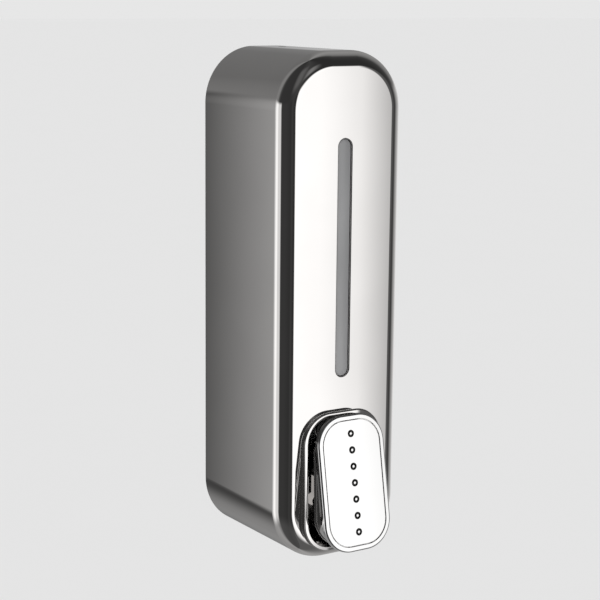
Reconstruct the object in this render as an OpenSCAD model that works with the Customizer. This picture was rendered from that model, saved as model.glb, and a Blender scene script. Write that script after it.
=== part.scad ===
// Wall mounted soap dispenser: a tall chromed case that swings down on a wall
// plate, with a level window, a tilted push button and a piston pump.
// Origin: centre of the wall face. +Z is up, -Y is out of the wall.

/* [Case] */
// Height of the case
case_h = 215; // [190:1:260]
// Width of the case
case_w = 60; // [56:1:76]
// Depth of the case, from the wall to its front face
case_d = 65; // [62:1:80]
// Corner radius of the case seen from the front
corner_r = 24; // [20:0.5:26]
// Radius of the edge round the front face
edge_r = 7; // [5:0.5:9]
// Wall thickness of the case
wall_t = 2.2; // [1.8:0.1:2.8]
// Gap between the case's open back and the wall
wall_gap = 1.5; // [1:0.1:1.9]

/* [Window] */
// Width of the slit
slit_w = 6.5; // [5:0.5:8]
// Length of the slit
slit_len = 99.8; // [80:0.2:104]
// Height of the slit's middle above the middle of the case
slit_mid = 21.9; // [18:0.1:26]

/* [Button] */
// Width of the button plate
button_w = 33.4; // [30:0.2:34.4]
// Length of the button plate, along its slope
button_len = 57.8; // [52:0.2:58]
// Corner radius of the button plate
button_r = 12.6; // [10:0.1:13]
// Lean of the button plate, its foot standing out
button_tilt = 9.9; // [8:0.1:10.5]
// How far the middle of the plate stands out from the case
button_proud = 10.7; // [10.4:0.1:12]
// Height of the plate's middle above the foot of the case
button_up = 35.8; // [35:0.1:37]
// Thickness of the button plate
button_t = 2.4; // [2:0.1:2.6]
// Angle that the button turns when it is pressed
press_deg = 9; // [6:0.5:9]

/* [Collar] */
// Width of the collar round the button
collar_w = 39.6; // [39:0.2:43]
// Height of the collar
collar_h = 60; // [60:0.5:64]
// Corner radius of the collar
collar_r = 13.3; // [12:0.1:16]
// How far the middle of the collar stands out from the case
collar_out = 2.2; // [2:0.1:2.6]
// Lean of the collar, its foot standing out
collar_lean = 1.8; // [0.5:0.1:2]
// Width of the collar's lip
collar_lip = 1.8; // [1.2:0.1:2]

/* [Wall plate] */
// Thickness of the wall plate
plate_t = 2.5; // [2:0.1:3]
// Distance between the wall screws, side to side
screw_span_x = 30; // [24:1:32]
// Distance between the wall screws, top to bottom
screw_span_z = 140; // [120:1:144]
// Radius of a wall screw's hole
wall_screw_r = 2.25; // [1.75:0.25:2.75]

/* [Cover hinge] */
// Radius of the pin that the case swings on
hinge_pin_r = 1.5; // [1.25:0.05:1.75]
// Distance of the pin from the wall
hinge_out = 8.5; // [8.5:0.1:9.5]
// Height of the pin above the foot of the case
hinge_up = 7; // [7:0.1:8]

/* [Pump] */
// Radius of the pump's bore
bore_r = 7; // [6:0.25:8]
// Height of the pump's axis above the foot of the case
pump_up = 27.5; // [27:0.25:29]
// Distance of the nozzle from the wall
nozzle_out = 40; // [39.5:0.25:42]
// Length of nozzle that shows below the case
nozzle_drop = 3.5; // [2:0.5:6]
// Radius of the nozzle
nozzle_r = 4; // [3.5:0.25:4]

/* [Reservoir] */
// Thickness of the reservoir's walls
tank_t = 1.5; // [1.2:0.1:2]
// Radius of the filler neck's mouth
neck_r = 8.5; // [7:0.5:10]

/* [Clearances] */
// Gap between a pin and the bore that turns on it
running_gap = 0.05; // [0.03:0.01:0.08]
// Gap between the window and the slit
window_gap = 0.1; // [0.05:0.05:0.2]
// Gap between the button and what it passes
button_gap = 0.5; // [0.4:0.05:0.7]
// Gap between the reservoir and the case's side walls
tank_gap = 2.2; // [2:0.1:3]

/* [Hidden] */
$fn = 64;
// A cut runs this far past the face that it opens
past = 1;

// Faces of the case
half_w = case_w / 2;
half_h = case_h / 2;
front_y = -case_d;
inner_front_y = front_y + wall_t;
inner_top_z = half_h - wall_t;
inner_foot_z = -half_h + wall_t;

// Axis that the case swings on
hinge_y = -hinge_out;
hinge_z = -half_h + hinge_up;
lug_r = hinge_pin_r + 2.1;
// The pin's two lugs on the plate and the two ears of the case beside them
lug_x = [5.5, 9.5];
ear_x = [9.8, 13.3];
// The case's rear foot is rounded off to this radius about the pin, to turn clear of the wall
heel_r = hinge_out - 0.3;

// Wall plate
plate_half_w = half_w - wall_t - 1.3;
plate_corner_r = corner_r - wall_t - 1.3;
plate_top_z = inner_top_z - 1.3;
plate_foot_z = hinge_z + 10.5;
plate_foot_r = 12;
ledge_half_w = 5;
ledge_out = 9;
ledge_t = 2;

// Collar and the opening inside it
collar_z = -half_h + button_up - 1.1;
open_w = collar_w - 2 * collar_lip;
open_h = collar_h - 2 * collar_lip;
open_r = collar_r - collar_lip;
open_foot_z = collar_z - open_h / 2;
// The collar's foot is the part that stands out most
collar_front_y = front_y - collar_out - collar_h / 2 * sin(collar_lean);

// Button: its plate's middle and the pin that it turns on
plate_y = front_y - button_proud;
plate_z = -half_h + button_up;
pivot_y = inner_front_y + 2.8;
pivot_z = collar_z + open_h / 2 - 2.6;
button_pin_r = 1.25;
skirt_w = button_w - 0.4;
skirt_len = button_len - 4.8;
skirt_t = 1.6;
skirt_r = button_r - 0.6;
skirt_back_y = pivot_y + 0.5;
lever_face_y = pivot_y - 3.5;
lever_screw = [7, plate_z + 4];
lever_screw_r = 1.2;
// The skirt's foot is an arc about the pin, so that it swings clear of the opening
skirt_swing_r = pivot_z - open_foot_z - button_gap;
arm_x = [14, 17];
pin_ear_x = [19.5, 22.5];
stop_gap = 0.3;
stop_reach = open_w / 2 + 1.7;
stop_z = [plate_z - 6, plate_z + 2];
// Inset face of the button
rim_w = 2.3;
face_gap = 0.15;
face_depth = 0.9;
dimple_pitch = 6.95;
dimple_count = 7;

// Pump, along Y
pump_z = -half_h + pump_up;
bore_end_y = -15;
body_front_y = -34;
body_back_y = -12.5;
body_r = bore_r + 2.5;
gland_front_y = body_front_y - 2.5;
port_y = -19;
port_r = 2;
disc_y = [-33.5, -28.5];
rod_r = 3;
// The push head stands off the gland by more than the travel of a full press
press_travel = (pivot_z - pump_z) * press_deg * PI / 180;
head_back_y = gland_front_y - press_travel - 1.25;
head_front_y = head_back_y - 2.15;
head_r = 6;
duct_r = 4;
duct_z = pump_z - body_r - duct_r - 0.5;
duct_bore_r = 2.5;
duct_front_y = -nozzle_out - duct_r;
plug_len = 2;
stub_foot_z = duct_z - 7;
stub_bore_r = 3;
pump_post_x = 14;
small_screw_r = 1.5;
small_head_r = 3;

// Reservoir
tank_half_w = half_w - wall_t - tank_gap;
tank_back_y = -plate_t - 2;
window_flange_t = 1.5;
tank_front_y = inner_front_y + window_flange_t + 1.8;
tank_mid_y = (tank_back_y + tank_front_y) / 2;
tank_depth = tank_back_y - tank_front_y;
tank_foot_z = pivot_z + 8.5;
tank_top_z = inner_top_z - 23.3;
tank_plan_r = 4;
gasket_t = 0.8;
lid_t = 2.2;
lid_top_z = tank_top_z + gasket_t + lid_t;
spigot_r = 3.5;
spigot_bore_r = 2.2;
spigot_foot_z = tank_foot_z - 12;
cup_r = 6.5;
cup_top_z = tank_foot_z - 4;
tank_ear_x = 18;
tank_ear_z = tank_foot_z - 4;
neck_t = 1.5;
neck_y = -35;
neck_top_z = lid_top_z + 4.5;
cap_r = neck_r + neck_t + 1.2;
cap_seal_t = 0.5;
cap_roof_t = 1.8;

// Lock, upright under the top of the case
lock_y = -16;
lock_flange_r = 5.4;
lock_bore_r = lock_flange_r + 0.1;
lock_boss_r = lock_bore_r + 1.4;
lock_flange_z = [inner_top_z - 1.7, inner_top_z - 0.1];
lock_boss_foot_z = inner_top_z - 4.4;
barrel_r = 4;
key_r = 1.5;
cam_top_z = inner_top_z - 5.5;
cam_t = 1.4;
strike_y = -6.5;
strike_r = 1.5;
// The cam's hook runs behind the strike, between these two radii about the barrel
hook_in_r = strike_y - lock_y + strike_r + 0.4;
hook_out_r = hook_in_r + 1.8;
hook_from_deg = -30;
hook_to_deg = 15;
arm_w = 3.5;

// ---- shapes ----

// A box between two corners
module block(low, high) {
    translate(low) cube(high - low);
}

// A flat shape in X and Z, carried along Y
module along_y(y0, y1) {
    translate([0, y1, 0]) rotate([90, 0, 0]) linear_extrude(y1 - y0) children();
}

// A round bar along Y, through the point [x, z]
module bar_y(r, at, y0, y1) {
    translate([at[0], y1, at[1]]) rotate([90, 0, 0]) cylinder(r = r, h = y1 - y0);
}

// A round bar along X, through the point [y, z]
module bar_x(r, at, x0, x1) {
    translate([x0, at[0], at[1]]) rotate([0, 90, 0]) cylinder(r = r, h = x1 - x0);
}

// A round bar along Z, through the point [x, y]
module bar_z(r, at, z0, z1) {
    translate([at[0], at[1], z0]) cylinder(r = r, h = z1 - z0);
}

module both_sides() {
    children();
    mirror([1, 0, 0]) children();
}

// A rectangle with four round corners
module round_rect(w, h, r) {
    square([w - 2 * r, h], center = true);
    square([w, h - 2 * r], center = true);
    for (sx = [-1, 1], sy = [-1, 1])
        translate([sx * (w / 2 - r), sy * (h / 2 - r)]) circle(r);
}

// Half of a slab's section: reach across, depth deep, its far corner rounded
module edge_section(reach, depth, e) {
    square([reach, depth - e]);
    square([reach - e, depth]);
    translate([reach - e, depth - e]) circle(e);
}

// A block with round corners seen from the front, and a rounded edge round its front face
module pillow(w, h, r, e, front, back) {
    depth = back - front;
    for (sx = [0, 1], sz = [0, 1])
        mirror([sx, 0, 0]) mirror([0, 0, sz])
            translate([w / 2 - r, back, h / 2 - r]) rotate([90, 0, 0])
                rotate_extrude(angle = 90) edge_section(r, depth, e);
    for (sx = [0, 1])
        mirror([sx, 0, 0]) translate([0, back, r - h / 2])
            mirror([0, 1, 0]) linear_extrude(h - 2 * r) edge_section(w / 2, depth, e);
    for (sz = [0, 1])
        mirror([0, 0, sz]) translate([r - w / 2, back, 0]) rotate([90, 0, 90])
            linear_extrude(w - 2 * r) rotate(90) edge_section(h / 2, depth, e);
}

// A coil of round wire along Y: one ring of points for each step of its turning
function coil_rings(r, wire_r, y0, y1, turns, steps, sides) = [
    for (i = [0 : turns * steps])
        let (a = 360 * i / steps, y = y0 + (y1 - y0) * i / (turns * steps))
            for (k = [0 : sides - 1])
                let (b = 360 * k / sides, reach = r + wire_r * cos(b))
                    [reach * cos(a), y + wire_r * sin(b), reach * sin(a)]
];

module coil(r, wire_r, y0, y1, turns) {
    steps = 14;
    sides = 6;
    rings = turns * steps;
    walls = [
        for (i = [0 : rings - 1], k = [0 : sides - 1])
            let (n = (k + 1) % sides)
                [i * sides + k, i * sides + n, (i + 1) * sides + n, (i + 1) * sides + k]
    ];
    first_end = [for (k = [sides - 1 : -1 : 0]) k];
    last_end = [for (k = [0 : sides - 1]) rings * sides + k];
    points = coil_rings(r, wire_r, y0, y1, turns, steps, sides);
    polyhedron(points, concat(walls, [first_end, last_end]));
}

// A screw along Y: its head's seat at y, its point towards the wall
module screw_y(x, y, z, length) {
    difference() {
        union() {
            bar_y(small_head_r, [x, z], y - 1.8, y);
            bar_y(small_screw_r, [x, z], y - past, y + length);
        }
        along_y(y - 1.8 - past, y - 0.9) translate([x, z]) square([3.6, 0.8], center = true);
        along_y(y - 1.8 - past, y - 0.9) translate([x, z]) square([0.8, 3.6], center = true);
    }
}

// What is inside the button's own tilted frame, with its plate's face at y = 0
module on_button_slope() {
    translate([0, plate_y, plate_z]) rotate([-button_tilt, 0, 0]) children();
}

// ---- wall side ----

module plate_outline() {
    intersection() {
        translate([0, plate_top_z - case_h / 2]) round_rect(2 * plate_half_w, case_h, plate_corner_r);
        translate([0, plate_foot_z + case_h / 2]) round_rect(2 * plate_half_w, case_h, plate_foot_r);
    }
}

// Wall plate, with the hinge's lugs, the strike's ledge and the posts for tank and pump
module back_plate() {
    color("whitesmoke") difference() {
        union() {
            along_y(-plate_t, 0) plate_outline();
            both_sides() {
                block([lug_x[0], hinge_y - lug_r, hinge_z], [lug_x[1], hinge_y + lug_r, plate_foot_z + 6]);
                block([lug_x[0], hinge_y, plate_foot_z], [lug_x[1], -plate_t + 0.5, plate_foot_z + 6]);
                bar_x(lug_r, [hinge_y, hinge_z], lug_x[0], lug_x[1]);
                bar_y(4, [pump_post_x, pump_z], body_back_y, -plate_t + 0.5);
                bar_y(4, [tank_ear_x, tank_ear_z], tank_back_y, -plate_t + 0.5);
            }
            block([-ledge_half_w, -ledge_out, plate_top_z - ledge_t],
                  [ledge_half_w, -plate_t + 0.5, plate_top_z]);
        }
        for (sx = [-1, 1], sz = [-1, 1])
            bar_y(wall_screw_r, [sx * screw_span_x / 2, sz * screw_span_z / 2], -plate_t - past, past);
        both_sides() {
            bar_x(hinge_pin_r, [hinge_y, hinge_z], lug_x[0] - past, lug_x[1] + past);
            bar_y(small_screw_r, [pump_post_x, pump_z], body_back_y - past, -3);
            bar_y(small_screw_r, [tank_ear_x, tank_ear_z], tank_back_y - past, -0.8);
        }
        bar_z(strike_r, [0, strike_y], plate_top_z - ledge_t - past, plate_top_z + past);
    }
}

// Steel pin that the case swings on
module hinge_pin() {
    color("silver") bar_x(hinge_pin_r, [hinge_y, hinge_z], 0.1 - ear_x[1], ear_x[1] - 0.1);
}

// Steel peg that the lock's cam hooks behind
module lock_strike() {
    color("silver") bar_z(strike_r, [0, strike_y], cam_top_z - cam_t - 1, plate_top_z);
}

// ---- reservoir ----

module tank_plan(inset) {
    translate([0, tank_mid_y])
        round_rect(2 * (tank_half_w - inset), tank_depth - 2 * inset, tank_plan_r - inset);
}

// Soap reservoir, open at the top, with its outlet spigot and two screw ears
module reservoir() {
    color("azure") difference() {
        union() {
            translate([0, 0, tank_foot_z]) linear_extrude(tank_top_z - tank_foot_z) tank_plan(0);
            bar_z(spigot_r, [0, port_y], spigot_foot_z, tank_foot_z + 0.5);
            both_sides()
                block([tank_ear_x - 4, tank_back_y - 2, tank_ear_z - 4],
                      [tank_ear_x + 4, tank_back_y, tank_foot_z + 0.5]);
        }
        translate([0, 0, tank_foot_z + tank_t]) linear_extrude(case_h) tank_plan(tank_t);
        bar_z(spigot_bore_r, [0, port_y], spigot_foot_z - past, tank_foot_z + tank_t + past);
        both_sides()
            bar_y(small_screw_r, [tank_ear_x, tank_ear_z], tank_back_y - 2 - past, tank_back_y + past);
    }
}

// Flat gasket between the reservoir and its lid
module lid_gasket() {
    color("dimgray") translate([0, 0, tank_top_z]) linear_extrude(gasket_t) difference() {
        tank_plan(0);
        tank_plan(tank_t);
    }
}

// Lid of the reservoir, with the filler neck and a rim that locates it inside
module reservoir_lid() {
    color("azure") difference() {
        union() {
            translate([0, 0, tank_top_z + gasket_t]) linear_extrude(lid_t) tank_plan(0);
            translate([0, 0, tank_top_z - 3]) linear_extrude(gasket_t + 3.5) difference() {
                tank_plan(tank_t + 0.1);
                tank_plan(tank_t + 1.3);
            }
            bar_z(neck_r + neck_t, [0, neck_y], tank_top_z + gasket_t + 0.5, neck_top_z);
        }
        bar_z(neck_r, [0, neck_y], tank_top_z, neck_top_z + past);
    }
}

// Two screws that hold the reservoir's ears to the wall plate
module tank_screws() {
    color("silver") both_sides() screw_y(tank_ear_x, tank_back_y - 2, tank_ear_z, 5);
}

// Push-on cap of the filler neck
module filler_cap() {
    cap_foot_z = lid_top_z + 0.4;
    cap_top_z = neck_top_z + cap_seal_t + cap_roof_t;
    color("dimgray") difference() {
        bar_z(cap_r, [0, neck_y], cap_foot_z, cap_top_z);
        bar_z(neck_r + neck_t + running_gap, [0, neck_y], cap_foot_z - past, cap_top_z - cap_roof_t);
        for (a = [0 : 30 : 330])
            translate([0, neck_y, 0]) rotate([0, 0, a])
                bar_z(0.7, [cap_r + 0.3, 0], cap_foot_z - past, cap_top_z + past);
    }
}

// Sealing disc inside the cap, down on the neck's rim
module cap_seal() {
    color("gray") difference() {
        bar_z(neck_r + neck_t - 0.2, [0, neck_y], neck_top_z + 0.02, neck_top_z + cap_seal_t);
        bar_z(neck_r - 1.5, [0, neck_y], neck_top_z - past, neck_top_z + 1);
    }
}

// ---- pump ----

// Pump body: bore along Y, inlet cup above, outlet duct below and a stub for the nozzle
module pump_body() {
    color("dimgray") difference() {
        union() {
            bar_y(body_r, [0, pump_z], body_front_y, body_back_y);
            bar_z(cup_r, [0, port_y], pump_z, cup_top_z);
            bar_z(duct_r, [0, port_y], duct_z, pump_z);
            bar_y(duct_r, [0, duct_z], duct_front_y, port_y + duct_r);
            bar_z(nozzle_r + 0.5, [0, -nozzle_out], stub_foot_z, duct_z);
            block([-pump_post_x, body_back_y - 3.5, pump_z - 4.5], [pump_post_x, body_back_y, pump_z + 4.5]);
            both_sides() bar_y(4.5, [pump_post_x, pump_z], body_back_y - 3.5, body_back_y);
        }
        bar_y(bore_r, [0, pump_z], body_front_y - past, bore_end_y);
        bar_z(spigot_r + 0.1, [0, port_y], spigot_foot_z - 0.3, cup_top_z + past);
        bar_z(3, [0, port_y], pump_z + bore_r + 3, spigot_foot_z);
        bar_z(port_r, [0, port_y], duct_z, spigot_foot_z);
        bar_y(duct_bore_r, [0, duct_z], duct_front_y - past, port_y + 1);
        bar_z(stub_bore_r, [0, -nozzle_out], stub_foot_z - past, duct_z);
        bar_z(5.2, [0, port_y], cup_top_z - 2.4, cup_top_z + past);
        both_sides()
            bar_y(small_screw_r, [pump_post_x, pump_z], body_back_y - 3.5 - past, body_back_y + past);
    }
}

// O-ring round the reservoir's spigot
module inlet_seal() {
    color("black") translate([0, port_y, cup_top_z - 1.5])
        rotate_extrude() translate([spigot_r + 0.85, 0]) circle(0.8);
}

// Steel ball of the inlet valve, resting on its seat
module inlet_ball() {
    seat_z = pump_z + bore_r + 3;
    ball_r = 2.5;
    // The ball sinks into the port until its surface meets the port's edge
    lift = sqrt(pow(ball_r, 2) - pow(port_r, 2)) + 0.02;
    color("silver") translate([0, port_y, seat_z + lift]) sphere(ball_r);
}

// Rubber duckbill of the outlet valve, inside the stub
module outlet_valve() {
    top_z = duct_z - 2.7;
    color("black") translate([0, -nozzle_out, 0]) difference() {
        union() {
            translate([0, 0, top_z - 0.8]) cylinder(r = stub_bore_r - 0.05, h = 0.8);
            translate([0, 0, top_z - 2.4]) cylinder(r1 = 0.9, r2 = 1.6, h = 1.6);
        }
        block([-1.2, -0.2, top_z - 3], [1.2, 0.2, top_z + past]);
    }
}

// Nozzle, pushed up into the pump's stub
module nozzle() {
    seat_z = stub_foot_z + 1.8;
    color("dimgray") difference() {
        union() {
            bar_z(stub_bore_r, [0, -nozzle_out], stub_foot_z - 0.5, seat_z);
            bar_z(nozzle_r, [0, -nozzle_out], -half_h - nozzle_drop, stub_foot_z);
        }
        bar_z(1.8, [0, -nozzle_out], -half_h - nozzle_drop - past, seat_z + past);
    }
}

// Plug that closes the front end of the outlet duct
module duct_plug() {
    color("dimgray") bar_y(duct_bore_r, [0, duct_z], duct_front_y, duct_front_y + plug_len);
}

// Screw-on gland at the front of the pump, which guides the piston's rod
module pump_cap() {
    color("dimgray") difference() {
        union() {
            bar_y(body_r, [0, pump_z], gland_front_y, body_front_y);
            bar_y(bore_r, [0, pump_z], body_front_y - 0.5, body_front_y + 0.4);
        }
        bar_y(rod_r + running_gap, [0, pump_z], gland_front_y - past, body_front_y + past);
        for (a = [0 : 30 : 330])
            translate([0, 0, pump_z]) rotate([0, a, 0])
                bar_y(0.8, [body_r + 0.4, 0], gland_front_y - past, body_front_y - 0.6);
    }
}

// Two screws that hold the pump to the wall plate
module pump_screws() {
    color("silver") both_sides() screw_y(pump_post_x, body_back_y - 3.5, pump_z, 11);
}

// Return spring inside the pump's bore
module pump_spring() {
    wire_r = 0.5;
    color("silver") translate([0, 0, pump_z])
        coil(bore_r - 1.8, wire_r, disc_y[1] + wire_r, bore_end_y - wire_r, 6);
}

// Piston: disc, rod and push head in one
module piston() {
    mid_y = (disc_y[0] + disc_y[1]) / 2;
    color("dimgray") difference() {
        union() {
            bar_y(bore_r - running_gap, [0, pump_z], disc_y[0], disc_y[1]);
            bar_y(rod_r, [0, pump_z], head_back_y - 0.5, disc_y[0] + 0.5);
            bar_y(head_r, [0, pump_z], head_front_y, head_back_y);
        }
        translate([0, mid_y, pump_z]) rotate([90, 0, 0])
            rotate_extrude() translate([bore_r - 1.5, -1]) square([2.5, 2]);
    }
}

// O-ring in the piston's groove
module piston_seal() {
    seal_r = 0.72;
    mid_y = (disc_y[0] + disc_y[1]) / 2;
    color("black") translate([0, mid_y, pump_z]) rotate([90, 0, 0])
        rotate_extrude() translate([bore_r - seal_r - 0.04, 0]) circle(seal_r);
}

// ---- case ----

// What the case encloses, drawn past its open back
module case_hollow() {
    pillow(case_w - 2 * wall_t, case_h - 2 * wall_t, corner_r - wall_t, edge_r - wall_t, inner_front_y, past);
}

// Ears for the button's pin, ears for the hinge's pin and the lock's boss, inside the case
module case_fittings() {
    both_sides() {
        block([pin_ear_x[0], inner_front_y - 0.5, pivot_z - 2.6], [pin_ear_x[1], pivot_y, pivot_z + 2.6]);
        bar_x(2.6, [pivot_y, pivot_z], pin_ear_x[0], pin_ear_x[1]);
        block([ear_x[0], hinge_y - lug_r, inner_foot_z - 0.5], [ear_x[1], hinge_y + lug_r, hinge_z]);
        bar_x(lug_r, [hinge_y, hinge_z], ear_x[0], ear_x[1]);
    }
    bar_z(lock_boss_r, [0, lock_y], lock_boss_foot_z, inner_top_z + 0.5);
}

// Everything outside the heel's radius about the hinge pin, at the case's rear foot
module heel_relief() {
    difference() {
        block([-case_w, hinge_y, -case_h], [case_w, past, hinge_z]);
        bar_x(heel_r, [hinge_y, hinge_z], -case_w - past, case_w + past);
    }
}

// Chromed case, with the collar round the button
module cover() {
    color("silver") difference() {
        union() {
            difference() {
                union() {
                    pillow(case_w, case_h, corner_r, edge_r, front_y, -wall_gap);
                    translate([0, front_y, collar_z]) rotate([-collar_lean, 0, 0])
                        pillow(collar_w, collar_h, collar_r, 0.7, -collar_out, wall_t);
                }
                case_hollow();
            }
            case_fittings();
        }
        translate([0, 0, slit_mid]) along_y(front_y - past, inner_front_y + past)
            round_rect(slit_w, slit_len, slit_w / 2 - 0.01);
        translate([0, 0, collar_z]) along_y(collar_front_y - past, inner_front_y + past)
            round_rect(open_w, open_h, open_r);
        block([-nozzle_r - 1.5, -nozzle_out - nozzle_r - 3, -half_h - past],
              [nozzle_r + 1.5, -nozzle_out + nozzle_r + 2, inner_foot_z + past]);
        both_sides() {
            bar_x(button_pin_r, [pivot_y, pivot_z], pin_ear_x[0] - past, pin_ear_x[1] + past);
            bar_x(hinge_pin_r + running_gap, [hinge_y, hinge_z], ear_x[0] - past, ear_x[1] + past);
        }
        bar_z(lock_bore_r, [0, lock_y], lock_boss_foot_z - past, inner_top_z);
        bar_z(key_r + 0.3, [0, lock_y], inner_top_z - past, half_h + past);
        heel_relief();
    }
}

// Smoked level window: a rib that fills the slit, on a flange behind it
module window() {
    flange_w = slit_w + 5;
    color("gray") translate([0, 0, slit_mid]) union() {
        along_y(inner_front_y, inner_front_y + window_flange_t)
            round_rect(flange_w, slit_len + 5, flange_w / 2 - 0.01);
        along_y(front_y + 0.6, inner_front_y + 0.5)
            round_rect(slit_w - 2 * window_gap, slit_len - 2 * window_gap, slit_w / 2 - window_gap - 0.01);
    }
}

// Steel pin that the button turns on
module button_pin() {
    color("silver") bar_x(button_pin_r, [pivot_y, pivot_z], -pin_ear_x[1], pin_ear_x[1]);
}

// ---- button ----

// The skirt behind the plate, as one block inset by an amount all round
module skirt_block(inset, depth) {
    intersection() {
        on_button_slope() along_y(0, depth)
            round_rect(skirt_w - 2 * inset, skirt_len - 2 * inset, skirt_r - inset);
        bar_x(skirt_swing_r - inset, [pivot_y, pivot_z], -case_w, case_w);
    }
}

// Chromed button: a plate with a bright rim, on a hollow skirt with its arms and stops
module button() {
    color("silver") difference() {
        union() {
            on_button_slope() pillow(button_w, button_len, button_r, 0.8, 0, button_t);
            intersection() {
                difference() {
                    skirt_block(0, 30);
                    difference() {
                        skirt_block(skirt_t, 31);
                        on_button_slope() block([-case_w, -case_w, -case_h], [case_w, button_t, case_h]);
                    }
                }
                block([-case_w, 2 * front_y, -case_h], [case_w, skirt_back_y, 0]);
            }
            both_sides() {
                block([arm_x[0], pivot_y - 2.2, plate_z + 8], [arm_x[1], pivot_y + 2.2, pivot_z]);
                bar_x(2.2, [pivot_y, pivot_z], arm_x[0], arm_x[1]);
                block([skirt_w / 2 - skirt_t, inner_front_y + stop_gap, stop_z[0]],
                      [stop_reach, inner_front_y + stop_gap + 2, stop_z[1]]);
                intersection() {
                    bar_y(2.8, lever_screw, 2 * front_y, lever_face_y);
                    on_button_slope() block([-case_w, button_t - 0.5, -case_h], [case_w, case_w, case_h]);
                }
            }
        }
        on_button_slope() along_y(-past, face_depth)
            round_rect(button_w - 2 * rim_w, button_len - 2 * rim_w, button_r - rim_w);
        both_sides() bar_y(lever_screw_r, lever_screw, lever_face_y - 6, lever_face_y + past);
        bar_x(button_pin_r + running_gap, [pivot_y, pivot_z], -arm_x[1] - past, arm_x[1] + past);
    }
}

// Bright inset face with a row of seven ringed dimples
module button_face() {
    inset = rim_w + face_gap;
    color("gainsboro") on_button_slope() difference() {
        along_y(0.1, face_depth)
            round_rect(button_w - 2 * inset, button_len - 2 * inset, button_r - inset);
        for (i = [0 : dimple_count - 1])
            translate([0, 0.1, (i - (dimple_count - 1) / 2) * dimple_pitch]) rotate([90, 0, 0])
                rotate_extrude() translate([1.4, 0]) circle(0.32);
    }
}

// Lever behind the button, whose nub pushes the piston
module button_lever() {
    back_y = lever_face_y;
    nub_y = head_front_y - 0.15;
    nub_r = 4;
    // The nub's end is domed, so that it rolls on the piston's head as the lever turns
    dome_r = 8;
    dome_y = nub_y - dome_r;
    color("dimgray") difference() {
        union() {
            along_y(back_y, back_y + 2) translate([0, plate_z - 2.5]) round_rect(22, 20, 3);
            bar_y(nub_r, [0, pump_z], back_y + 1, dome_y);
            intersection() {
                bar_y(nub_r, [0, pump_z], dome_y - 1, nub_y + past);
                translate([0, dome_y, pump_z]) sphere(dome_r);
            }
            block([-0.8, back_y + 1, pump_z], [0.8, nub_y - 6, pump_z + 12]);
        }
        both_sides() bar_y(lever_screw_r, lever_screw, back_y - past, back_y + 3);
    }
}

// Two screws that hold the lever to the button
module lever_screws() {
    seat_y = lever_face_y + 2;
    color("silver") both_sides() difference() {
        union() {
            bar_y(2.3, lever_screw, seat_y, seat_y + 1.4);
            bar_y(lever_screw_r, lever_screw, seat_y - 7, seat_y + 0.5);
        }
        along_y(seat_y + 0.7, seat_y + 3) translate(lever_screw) square([2.6, 0.6], center = true);
    }
}

// ---- lock ----

// Barrel of the lock, with a three-cornered socket for the key
module lock_barrel() {
    color("silver") difference() {
        union() {
            bar_z(lock_flange_r, [0, lock_y], lock_flange_z[0], lock_flange_z[1]);
            bar_z(barrel_r, [0, lock_y], cam_top_z, lock_flange_z[1]);
        }
        translate([0, lock_y, lock_flange_z[1] - 2.5]) cylinder(r = key_r, h = 3, $fn = 3);
        bar_z(1, [0, lock_y], cam_top_z - past, cam_top_z + 2.4);
    }
}

// Ring pressed into the boss, which keeps the barrel in
module lock_collar() {
    color("gray") difference() {
        bar_z(lock_bore_r, [0, lock_y], lock_boss_foot_z, lock_flange_z[0] - 0.1);
        bar_z(barrel_r + running_gap, [0, lock_y], lock_boss_foot_z - past, lock_flange_z[0] + past);
    }
}

// Hooked cam under the barrel, drawn unlocked
module lock_cam() {
    hook_deg = hook_to_deg - hook_from_deg;
    color("silver") translate([0, lock_y, cam_top_z - cam_t]) difference() {
        union() {
            cylinder(r = barrel_r + 0.5, h = cam_t);
            rotate([0, 0, hook_from_deg]) translate([0, -arm_w / 2, 0])
                cube([hook_out_r - 0.3, arm_w, cam_t]);
            rotate([0, 0, hook_from_deg]) rotate_extrude(angle = hook_deg)
                translate([hook_in_r, 0]) square([hook_out_r - hook_in_r, cam_t]);
        }
        translate([0, 0, -past]) cylinder(r = 1, h = cam_t + 2 * past);
    }
}

// Screw that holds the cam to the barrel
module cam_screw() {
    seat_z = cam_top_z - cam_t;
    color("silver") translate([0, lock_y, 0]) difference() {
        union() {
            translate([0, 0, seat_z - 1]) cylinder(r = 2.2, h = 1);
            translate([0, 0, seat_z - 0.5]) cylinder(r = 1, h = cam_t + 2.4);
        }
        translate([-0.3, -3, seat_z - 2]) cube([0.6, 6, 1.5]);
    }
}

back_plate();
hinge_pin();
lock_strike();
reservoir();
reservoir_lid();
lid_gasket();
tank_screws();
pump_body();
inlet_seal();
inlet_ball();
outlet_valve();
nozzle();
duct_plug();
pump_cap();
pump_screws();
pump_spring();
filler_cap();
cap_seal();
piston();
piston_seal();
cover();
window();
button_pin();
button();
button_face();
button_lever();
lever_screws();
lock_barrel();
lock_collar();
lock_cam();
cam_screw();
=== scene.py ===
import math

import bpy
import numpy as np
from mathutils import Matrix, Vector


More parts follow.
